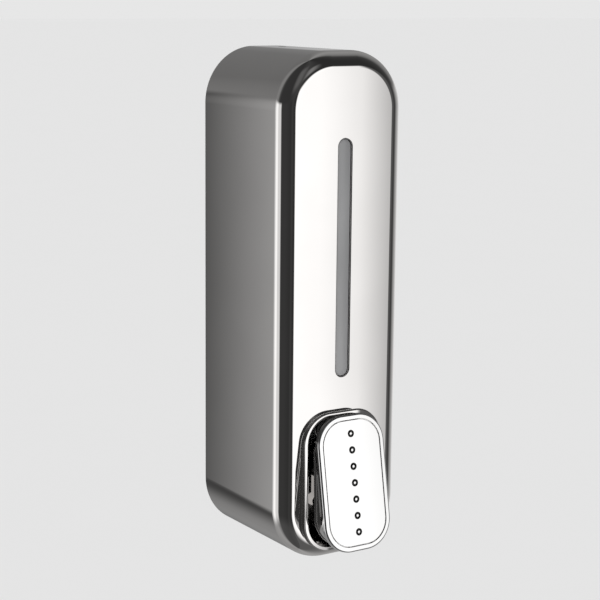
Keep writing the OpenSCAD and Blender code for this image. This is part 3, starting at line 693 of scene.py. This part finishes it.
def key_hole(skin, key_rows):
    """The round hole for the key: a square of the top drawn in to a circle, and the circle's wall."""
    side = np.arange(-3, 3) * MM
    run = np.full(6, KEY_SQUARE)
    square = np.concatenate([
        np.stack([side, run], -1), np.stack([run, -side], -1),
        np.stack([-side, -run], -1), np.stack([-run, side], -1),
    ])
    angle = np.arctan2(square[:, 1], square[:, 0])
    circle = KEY_R * np.stack([np.cos(angle), np.sin(angle)], -1)
    place = np.array([0, KEY_Y])
    for z, facing in ((HALF_H, 1.0), (HALF_H - WALL, -1.0)):
        flat = between(square + place, circle + place, 4)
        points = np.concatenate([flat, np.full(flat.shape[:2] + (1,), z)], -1)
        skin.grid(points, np.array([0.0, 0.0, facing]), closed=True)
    points = hole_wall(*(circle + place).T, HALF_H, HALF_H - WALL)
    normals = np.concatenate([-circle, 0 * circle[:, :1]], 1)[:, None] / KEY_R
    skin.grid(points, np.broadcast_to(normals, points.shape), closed=True)


def plate_across(outline, x0, x1, round_r):
    """A thin plate that stands across the case: a closed (y, z) outline drawn from x0 to x1,
    its edges rounded by drawing the outline in, and its two faces closed to its middle."""
    outline = np.asarray(outline)
    ahead = np.roll(outline, -1, 0) - np.roll(outline, 1, 0)
    out = np.stack([ahead[:, 1], -ahead[:, 0]], -1)
    out = out / np.linalg.norm(out, axis=1, keepdims=True)
    middle = outline.mean(0)
    if ((outline - middle) * out).sum() < 0:
        out = -out
    a = quarter(5)
    inset = round_r * np.concatenate([1 - np.sin(a), 1 - np.sin(a)[::-1]])
    xs = np.concatenate([x0 + round_r * (1 - np.cos(a)), x1 - round_r * (1 - np.cos(a)[::-1])])
    lean = np.concatenate([-np.cos(a), np.cos(a)[::-1]])
    flat = outline[:, None] - out[:, None] * inset[None, :, None]
    points = np.concatenate([np.broadcast_to(xs, flat.shape[:2])[..., None], flat], -1)
    side = out[:, None] * np.sqrt(1 - lean**2)[None, :, None]
    normals = np.concatenate([np.broadcast_to(lean, flat.shape[:2])[..., None], side], -1)
    skin = Skin().grid(points, normals, closed=True)
    for column, facing in ((0, -1.0), (-1, 1.0)):
        rim = points[:, column]
        centre = np.broadcast_to([xs[column], *middle], rim.shape)
        skin.grid(between(rim, centre, 2), np.array([facing, 0.0, 0.0]), closed=True)
    return skin


def ear_outline(centre, r, root_y=None, root_z=None, steps=20):
    """An ear in (y, z): half a circle about its pin, and a straight tail to its root,
    which lies along Y (root_y) or along Z (root_z)."""
    if root_z is not None:
        a = np.linspace(0, np.pi, steps)
        bow = np.stack([np.cos(a), np.sin(a)], -1) * r + centre
        return np.concatenate([bow, [[centre[0] - r, root_z], [centre[0] + r, root_z]]])
    a = np.linspace(-np.pi / 2, np.pi / 2, steps)
    bow = np.stack([np.cos(a), np.sin(a)], -1) * r + centre
    return np.concatenate([bow, [[root_y, centre[1] + r], [root_y, centre[1] - r]]])


def join_skins(skins):
    joined = Skin()
    for skin in skins:
        shift = joined.count
        joined.points += skin.points
        joined.normals += skin.normals
        joined.quads += [q + shift for q in skin.quads]
        joined.count += skin.count
    return joined


def case_fittings():
    """Inside the case: the ears of the button's pin, the ears that turn on the hinge's pin,
    and the lock's boss."""
    parts = []
    for sx in (-1, 1):
        pin_ear = ear_outline(PIVOT, PIN_EAR_R, root_y=INNER_FRONT_Y - ROOTED)
        hinge_ear = ear_outline(HINGE, HINGE_EAR_R, root_z=WALL - HALF_H - ROOTED)
        parts.append(plate_across(pin_ear, *sorted(sx * PIN_EAR_X), 0.3 * MM))
        parts.append(plate_across(hinge_ear, *sorted(sx * HINGE_EAR_X), 0.4 * MM))
    collar_low, collar_high = box_of("lock_collar")
    bore = (collar_high - collar_low)[0] / 2
    boss = bore + BOSS_WALL
    angle = np.linspace(0, 2 * np.pi, 48, endpoint=False)
    round_r = 0.35 * MM
    a = quarter(5)
    b = a[::-1]
    foot_z, root_z = collar_low[2], HALF_H - WALL
    top_z = root_z + ROOTED
    outer, inner = boss - round_r * (1 - np.cos(a)), bore + round_r * (1 - np.cos(b))
    reach = np.concatenate([[boss, boss], outer, inner, [bore, bore]])
    falling, rising = foot_z + round_r * (1 - np.sin(a)), foot_z + round_r * (1 - np.sin(b))
    rise = np.concatenate([[top_z, root_z - MM], falling, rising, [root_z - MM, top_z]])
    out = np.concatenate([[1, 1], np.cos(a), -np.cos(b), [-1, -1]])
    down = np.concatenate([[0, 0], -np.sin(a), -np.sin(b), [0, 0]])
    plan = np.stack([np.cos(angle), np.sin(angle)], -1)[:, None]
    rise, down = (np.broadcast_to(v, (len(angle), len(v)))[..., None] for v in (rise, down))
    points = np.concatenate([plan * reach[None, :, None] + [0, KEY_Y], rise], -1)
    normals = np.concatenate([plan * out[None, :, None], down], -1)
    ring = Skin().grid(points, normals, closed=True)
    root = between(points[:, 0], points[:, -1], 2)
    parts.append(ring.grid(root, np.array([0.0, 0.0, 1.0]), closed=True))
    return join_skins(parts)


# ---------------------------------------------------------------- button
def button_cap():
    """The chromed button in its own frame: rim, recess, side and back of the plate, and the
    hollow skirt."""
    skin = Skin()
    cols = dict(end_x=7, side_z=15, corner=26)
    c, n = columns(PLATE_HALF, PLATE_R, 0, **cols)
    recess = PLATE_R - RIM
    fine, edge, under = 0.22 * MM, 0.8 * MM, 0.3 * MM
    a, b = quarter(5), quarter(9)
    reach = [np.full(2, recess), recess + fine * (1 - np.cos(a)), PLATE_R - edge * (1 - np.sin(b)),
             PLATE_R - under * (1 - np.cos(a))]
    depth = [np.array([FACE_DEPTH, fine]), fine * (1 - np.sin(a)), edge * (1 - np.cos(b)),
             PLATE_T - under * (1 - np.sin(a))]
    out = [np.array([-1.0, -1.0]), -np.cos(a), np.sin(b), np.cos(a)]
    along = [np.zeros(2), -np.sin(a), -np.cos(b), np.sin(a)]
    points, normals = sweep(c, n, *map(np.concatenate, (reach, depth, out, along)))
    skin.grid(*to_slope(points, normals), closed=True)

    # Floor of the recess, drawn in to the middle line
    floor = points[:, 0][:, [0, 2]]
    core = PLATE_HALF[1] - PLATE_HALF[0]
    middle = np.stack([0 * floor[:, 0], np.clip(floor[:, 1], -core, core)], -1)
    skin.grid(*to_slope(*lie(between(floor, middle, 4), FACE_DEPTH, -1)), closed=True)

    # The skirt's two sides, kept within its swing about the pin, and the back of the plate beside them
    back_edge, _ = to_slope(points[:, -1], normals[:, -1])
    backward = np.array([0.0, math.cos(TILT), -math.sin(TILT)])
    c2, n2 = columns(SKIRT_HALF, SKIRT_R, 0, **cols)
    rear_y = PIVOT[0] + 0.5 * MM
    sides = []
    for inset, facing in ((0, 1), (SKIRT_T, -1)):
        flat = c2 + n2 * (SKIRT_R - inset)
        stop = (rear_y - PLATE_MID[1] - flat[:, 1] * math.sin(TILT)) / math.cos(TILT)
        rows = PLATE_T + (stop - PLATE_T)[:, None] * np.linspace(0, 1, 12)
        x, z = (np.broadcast_to(flat[:, k, None], rows.shape) for k in (0, 1))
        points = np.stack([x, rows, z], -1)
        points, _ = to_slope(points, points)
        from_pin = points[..., 1:] - PIVOT
        share = np.minimum(1, (SKIRT_SWING_R - inset) / np.linalg.norm(from_pin, axis=-1))
        points[..., 1:] = PIVOT + from_pin * share[..., None]
        normals = numeric_normals(points)
        outward = np.stack([n2[:, 0], 0 * n2[:, 0], n2[:, 1]], -1)[:, None] * facing
        normals = normals * np.sign((normals * outward).sum(-1, keepdims=True))
        skin.grid(points, normals, closed=True)
        sides.append(points)
    skin.grid(between(back_edge, sides[0][:, 0], 4), backward, closed=True)
    skin.grid(between(sides[0][:, -1], sides[1][:, -1], 3), np.array([0.0, 1.0, 0.0]), closed=True)
    flat = c2 + n2 * (SKIRT_R - SKIRT_T)
    core = SKIRT_HALF[1] - SKIRT_HALF[0]
    spine = np.stack([0 * flat[:, 0], np.full(len(flat), PLATE_T), np.clip(flat[:, 1], -core, core)], -1)
    skin.grid(between(sides[1][:, 0], to_slope(spine, spine)[0], 4), backward, closed=True)
    return skin


def button_inset():
    """The bright face let into the button, with a soft edge and seven round dimples.
    A dimple is a ring groove about a low dome: y = depth (1 + cos(pi t)) / 2 over the groove's width."""
    skin = Skin()
    inset = RIM + FACE_GAP
    half, r = PLATE_HALF - inset, PLATE_R - inset
    edge = 0.22 * MM
    proud = FACE_SUNK
    cell = DIMPLE_PITCH / 2
    per_side = 12
    line = np.linspace(-cell, cell, per_side + 1)[:-1]
    run = np.full(per_side, cell)
    square = np.concatenate([np.stack([line, run], -1), np.stack([run, -line], -1),
                             np.stack([-line, -run], -1), np.stack([-run, line], -1)])
    angle = np.arctan2(square[:, 1], square[:, 0])
    spoke = np.stack([np.cos(angle), np.sin(angle)], -1)
    ring_out, ring_in, deep = 1.62 * MM, 0.48 * MM, DIMPLE_DEEP
    t = np.linspace(0, 1, 13)
    reach = np.concatenate([ring_out + (ring_in - ring_out) * t, ring_in * np.linspace(1, 0, 5)[1:]])
    fall = np.concatenate([deep * (1 - np.cos(2 * np.pi * t)) / 2, np.zeros(4)])
    slope = np.concatenate([-deep * np.pi * np.sin(2 * np.pi * t) / (ring_out - ring_in), np.zeros(4)])
    for i in range(DIMPLES):
        place = np.array([0, (i - (DIMPLES - 1) / 2) * DIMPLE_PITCH])
        flat = between(square, spoke * ring_out, 4) + place
        skin.grid(*to_slope(*lie(flat, proud, -1)), closed=True)
        flat = spoke[:, None] * reach[None, :, None] + place
        points = np.stack([flat[..., 0], np.broadcast_to(proud + fall, flat.shape[:2]), flat[..., 1]], -1)
        lean = spoke[:, None] * slope[None, :, None]
        normals = np.stack([lean[..., 0], -np.ones(flat.shape[:2]), lean[..., 1]], -1)
        skin.grid(*to_slope(points, normals), closed=True)

    # From the strip of dimples out to the rounded edge
    strip_h = DIMPLES * cell
    line_z = np.linspace(-strip_h, strip_h, DIMPLES * per_side + 1)
    line_x = np.linspace(-cell, cell, per_side + 1)
    loop = np.concatenate([
        np.stack([line_x[:-1], np.full(per_side, strip_h)], -1),
        np.stack([np.full(len(line_z) - 1, cell), line_z[::-1][:-1]], -1),
        np.stack([line_x[::-1][:-1], np.full(per_side, -strip_h)], -1),
        np.stack([np.full(len(line_z) - 1, -cell), line_z[:-1]], -1),
    ])
    core = half[1] - half[0]
    middle = np.stack([0 * loop[:, 0], np.clip(loop[:, 1], -core, core)], -1)
    ray = loop - middle
    ray = ray / np.linalg.norm(ray, axis=1, keepdims=True)
    brim = crossing(loop + ray * half[1] * 2, loop, half, r, 0)
    centre = np.clip(brim, r - half, half - r)
    facing = brim - centre
    facing = facing / np.linalg.norm(facing, axis=1, keepdims=True)
    skin.grid(*to_slope(*lie(between(loop, centre + facing * (r - edge), 8), proud, -1)), closed=True)
    a = quarter(5)
    reach = np.append(r - edge * (1 - np.sin(a)), r)
    depth = np.append(proud + edge * (1 - np.cos(a)), FACE_DEPTH)
    out, along = np.append(np.sin(a), 1), np.append(-np.cos(a), 0)
    points, normals = sweep(centre, facing, reach, depth, out, along)
    skin.grid(*to_slope(points, normals), closed=True)
    floor = points[:, -1][:, [0, 2]]
    middle = np.stack([0 * floor[:, 0], np.clip(floor[:, 1], -core, core)], -1)
    skin.grid(*to_slope(*lie(between(floor, middle, 3), FACE_DEPTH, 1)), closed=True)
    return skin


def mark_hollows(mesh):
    """Writes how deep each point of the inset lies in its dimple, from 0 to 1, as the
    attribute "hollow"."""
    points = np.array([v.co for v in mesh.vertices])
    in_slope = (points - PLATE_MID) @ np.array(Matrix.Rotation(-TILT, 3, "X"))
    depth = np.clip((in_slope[:, 1] - FACE_SUNK) / DIMPLE_DEEP, 0, 1)
    depth[np.abs(in_slope[:, 0]) > DIMPLE_PITCH / 2] = 0
    mesh.attributes.new("hollow", "FLOAT", "POINT").data.foreach_set("value", depth)


# ---------------------------------------------------------------- window and spring
def level_window():
    """The smoked window: a rib that fills the slit, its face crowned across, on a flange behind it."""
    skin = Skin()
    low, high = box_of("window")
    gap = 0.1 * MM
    half = SLIT_HALF - gap
    face_y, flange_y, back_y = low[1], INNER_FRONT_Y, high[1]
    core = half[1] - half[0]
    angle = np.linspace(0, np.pi, 16)
    upper = np.stack([np.cos(angle[::-1]), np.sin(angle[::-1])], -1)
    side = np.linspace(core, -core, 40)[1:-1]
    n = np.concatenate([upper, np.tile([1.0, 0.0], (38, 1)), -upper, np.tile([-1.0, 0.0], (38, 1))])
    c = np.concatenate([np.tile([0, core], (16, 1)), np.stack([0 * side, side], -1),
                        np.tile([0, -core], (16, 1)), np.stack([0 * side, side[::-1]], -1)]) + [0, SLIT_Z]
    crown = 0.12 * MM
    t = np.linspace(0, 1, 8)
    edge = 0.3 * MM
    a = quarter(5)
    reach = np.concatenate([(half[0] - edge) * t, half[0] - edge * (1 - np.sin(a)), [half[0]]])
    depth = np.concatenate([face_y + crown * t**2, face_y + crown + edge * (1 - np.cos(a)), [flange_y]])
    lean = 2 * crown / (half[0] - edge)
    out = np.concatenate([lean * t, np.maximum(np.sin(a), lean), [1]])
    along = np.concatenate([-np.ones(8), -np.cos(a), [0]])
    skin.grid(*sweep(c, n, reach, depth, out, along), closed=True)
    wide = (high[0] - low[0]) / 2
    reach = np.array([half[0], wide - 0.3 * MM, wide, wide, wide - 0.3 * MM, 0])
    depth = np.array([flange_y, flange_y, flange_y + 0.3 * MM, back_y - 0.3 * MM, back_y, back_y])
    skin.grid(*sweep(c, n, reach[:2], depth[:2], np.zeros(2), -np.ones(2)), closed=True)
    out, along = np.array([0.1, 1, 1, 0.1]), np.array([-1, -0.1, 0.1, 1])
    skin.grid(*sweep(c, n, reach[1:5], depth[1:5], out, along), closed=True)
    skin.grid(*sweep(c, n, reach[4:], depth[4:], np.zeros(2), np.ones(2)), closed=True)
    return skin


def coil_spring():
    """The pump's spring: round wire on a helix about the bore, its end turns laid close."""
    low, high = box_of("pump_spring")
    wire = 0.5 * MM
    mid = (low + high) / 2
    radius = (high[0] - low[0]) / 2 - wire
    turns = 7.0
    t = np.linspace(0, 1, 281)
    ease = t - np.sin(2 * np.pi * t) / (2 * np.pi) * 0.75
    angle = 2 * np.pi * turns * t
    spine = np.stack([np.cos(angle) * radius, low[1] + wire + (high[1] - low[1] - 2 * wire) * ease,
                      np.sin(angle) * radius], -1) + [mid[0], 0, mid[2]]
    radial = np.stack([np.cos(angle), 0 * angle, np.sin(angle)], -1)
    axial = np.broadcast_to([0.0, 1.0, 0.0], radial.shape)
    b = np.linspace(0, 2 * np.pi, 13)
    normals = radial[:, None] * np.cos(b)[None, :, None] + axial[:, None] * np.sin(b)[None, :, None]
    skin = Skin().grid(spine[:, None] + wire * normals, normals)
    ahead = np.gradient(spine, axis=0)
    for end, sign in ((0, -1), (-1, 1)):
        rim = spine[end] + wire * normals[end]
        cap = between(rim, np.broadcast_to(spine[end], rim.shape), 2)
        skin.grid(cap, np.broadcast_to(sign * ahead[end] / np.linalg.norm(ahead[end]), cap.shape))
    return skin


# ---------------------------------------------------------------- studio
PALE = 0.797
FLOOR_Z = -1.1


def card(tree, azimuth, elevation, across, up, soft, level, behind):
    """A soft-edged card of even brightness, hung before what is already there.
    across and up are its edges in degrees round and above the horizon."""
    shares = []
    for turn, (first, last), blur in ((azimuth, across, soft[0]), (elevation, up, soft[1])):
        near = smooth_step(tree, turn, first - blur, first + blur)
        far = smooth_step(tree, turn, last + blur, last - blur)
        shares.append(math_node(tree, "MULTIPLY", near, far))
    return blend(tree, math_node(tree, "MULTIPLY", *shares), behind, level)


# The studio's drapes and light boxes: how bright they are round the horizon, above it and below it.
# Degrees run from the wall's direction towards the right.
HORIZON = [
    (-180, 0.028), (-167, 0.045), (-158, 0.03), (-125, 0.038), (-93.5, 0.038), (-90.5, 0.5),
    (-86, 0.72), (-70, 0.68), (-66, 1.0), (-51, 1.05), (-46, 0.7), (-38, 0.52), (-32.3, 0.32),
    (-29.2, 0.052), (-18, 0.058), (25, 0.17), (36, 0.5), (48, 0.74), (62, 0.66), (82, 0.42),
    (97, 0.3), (112, 0.07), (120, 0.04), (130, 0.08), (139, 0.1), (143, 0.13), (144, 0.74),
    (145.6, 1.06), (147, 1.15), (168.5, 1.15), (173, 0.028),
]
ABOVE = [
    (-180, 0.05), (-140, 0.032), (-78, 0.034), (-66, 0.07), (-56, 0.2), (-42, 0.22), (-30, 0.18),
    (-20, 0.145), (0, 0.155), (22, 0.165), (36, 0.22), (50, 0.28), (66, 0.25), (80, 0.21),
    (92, 0.16), (100, 0.1), (108, 0.05), (120, 0.036), (136, 0.026), (155, 0.026), (180, 0.05),
]
BELOW = [
    (-180, 0.07), (-150, 0.06), (-100, 0.07), (-84, 0.22), (-66, 0.32), (0, 0.27), (40, 0.36),
    (90, 0.25), (150, 0.1),
]
# Cards hung in front of them: edges across, edges up, softness of both, brightness
CARDS = [((160, 176), (21, 40), (8, 5), 0.19), ((-176, -150), (21, 58), (10, 8), 0.11)]


def round_the_room(tree, azimuth, levels):
    """Brightness by direction, read off a ramp of (degrees, brightness)."""
    turn = node_of(tree, "ShaderNodeMapRange")
    tree.links.new(azimuth, turn.inputs["Value"])
    turn.inputs["From Min"].default_value = -180
    turn.inputs["From Max"].default_value = 180
    ramp = tree.nodes.new("ShaderNodeValToRGB")
    stops = ramp.color_ramp.elements
    stops.remove(stops[1])
    stops[0].color = (*[levels[0][1]] * 3, 1)
    for degrees, level in levels[1:]:
        stops.new((degrees + 180) / 360).color = (level, level, level, 1)
    tree.links.new(turn.outputs[0], ramp.inputs[0])
    return ramp.outputs[0]


def blend(tree, share, first, second):
    """Goes from one brightness to another as share goes from 0 to 1."""
    change = math_node(tree, "SUBTRACT", second, first)
    return math_node(tree, "ADD", first, math_node(tree, "MULTIPLY", share, change))


def studio_world():
    """The studio that the chrome mirrors. What the camera and matt surfaces see of it is
    plain and pale."""
    world = bpy.data.worlds.new("studio")
    bpy.context.scene.world = world
    world.use_nodes = True
    tree = world.node_tree
    tree.nodes.clear()
    direction = tree.nodes.new("ShaderNodeTexCoord").outputs["Generated"]
    split = tree.nodes.new("ShaderNodeSeparateXYZ")
    tree.links.new(direction, split.inputs[0])
    turn = math_node(tree, "ARCTAN2", split.outputs["X"], split.outputs["Y"])
    azimuth = math_node(tree, "DEGREES", turn)
    elevation = math_node(tree, "DEGREES", math_node(tree, "ARCSINE", split.outputs["Z"]))
    level, above, below = (round_the_room(tree, azimuth, levels) for levels in (HORIZON, ABOVE, BELOW))
    level = blend(tree, smooth_step(tree, elevation, 5, 11), level, above)
    level = blend(tree, smooth_step(tree, elevation, -22, -42), level, below)
    for across, up, soft, value in CARDS:
        level = card(tree, azimuth, elevation, across, up, soft, value, level)
    mirrored = tree.nodes.new("ShaderNodeBackground")
    tree.links.new(level, mirrored.inputs["Color"])
    plain = node_of(tree, "ShaderNodeBackground", Color=(PALE, PALE, PALE, 1))
    path = tree.nodes.new("ShaderNodeLightPath")
    plain_ray = math_node(tree, "MAXIMUM", path.outputs["Is Camera Ray"], path.outputs["Is Diffuse Ray"])
    mix = tree.nodes.new("ShaderNodeMixShader")
    tree.links.new(plain_ray, mix.inputs[0])
    tree.links.new(mirrored.outputs[0], mix.inputs[1])
    tree.links.new(plain.outputs[0], mix.inputs[2])
    output = tree.nodes.new("ShaderNodeOutputWorld")
    tree.links.new(mix.outputs[0], output.inputs["Surface"])


def pale_floor():
    """A wide plain floor, far below, that the chrome doesn't mirror."""
    finish = Finish("floor_paint", Roughness=0.9, Specular_IOR_Level=0.0)
    finish.colour(finish.noise(3, 2), (0.83, 0.83, 0.83), (0.832, 0.832, 0.832))
    reach = 60.0
    corners = np.array([[-1, -1, 0], [1, -1, 0], [1, 1, 0], [-1, 1, 0]], float) * reach + [0, 0, FLOOR_Z]
    mesh = bpy.data.meshes.new("floor")
    mesh.from_pydata(corners.tolist(), [], [(0, 1, 2, 3)])
    mesh.materials.append(finish.material)
    floor = bpy.data.objects.new("floor", mesh)
    bpy.context.scene.collection.objects.link(floor)
    floor.visible_glossy = False


def soft_sun():
    """A broad overhead light for the matt parts. The chrome doesn't mirror it."""
    light = bpy.data.lights.new("overhead", "SUN")
    light.angle = math.radians(40)
    light.energy = 0.6
    lamp = bpy.data.objects.new("overhead", light)
    bpy.context.scene.collection.objects.link(lamp)
    lamp.rotation_euler = (math.radians(35), math.radians(15), 0)
    lamp.visible_glossy = False


def camera():
    """The camera: turned to the left of straight on, a little above, with a long lens."""
    yaw, pitch, roll = (math.radians(d) for d in (33.075, 10.676, 0.568))
    ahead = Vector((math.sin(yaw) * math.cos(pitch), math.cos(yaw) * math.cos(pitch), -math.sin(pitch)))
    right = Vector((math.cos(yaw), -math.sin(yaw), 0))
    up = right.cross(ahead)
    across = right * math.cos(roll) + up * math.sin(roll)
    upright = up * math.cos(roll) - right * math.sin(roll)
    data = bpy.data.cameras.new("camera")
    data.lens = 98.708
    data.sensor_width = 36
    data.clip_end = 500
    cam = bpy.data.objects.new("camera", data)
    bpy.context.scene.collection.objects.link(cam)
    turn = Matrix((across, upright, -ahead)).transposed()
    cam.matrix_world = Matrix.Translation((-0.383007, -0.619965, 0.131561)) @ turn.to_4x4()
    bpy.context.scene.camera = cam


# ---------------------------------------------------------------- put together
finish_cad_nodes()
piece("case_shell", case_shell().mesh("case_shell"), CHROME_CASE, "case", "chrome_case", "cover")
piece("case_fittings", case_fittings().mesh("case_fittings"), CHROME_CASE, "case", "chrome_case")
cap_mesh = button_cap().mesh("button_cap")
piece("button_cap", cap_mesh, CHROME_BUTTON, "push_button", "chrome_button", "button")
inset_mesh = button_inset().mesh("button_inset")
# How deep each point lies in its dimple, which steers the inset's painted groove shade
mark_hollows(inset_mesh)
piece("button_inset", inset_mesh, CHROME_INSET, "push_button", "chrome_button", "button_face")
piece("level_window", level_window().mesh("level_window"), SMOKED, "case", "smoked_window", "window")
piece("coil_spring", coil_spring().mesh("coil_spring"), SPRING_STEEL, "wall_unit", "steel", "pump_spring")
camera()
studio_world()
soft_sun()
pale_floor()
bpy.context.scene.view_settings.view_transform = "Standard"
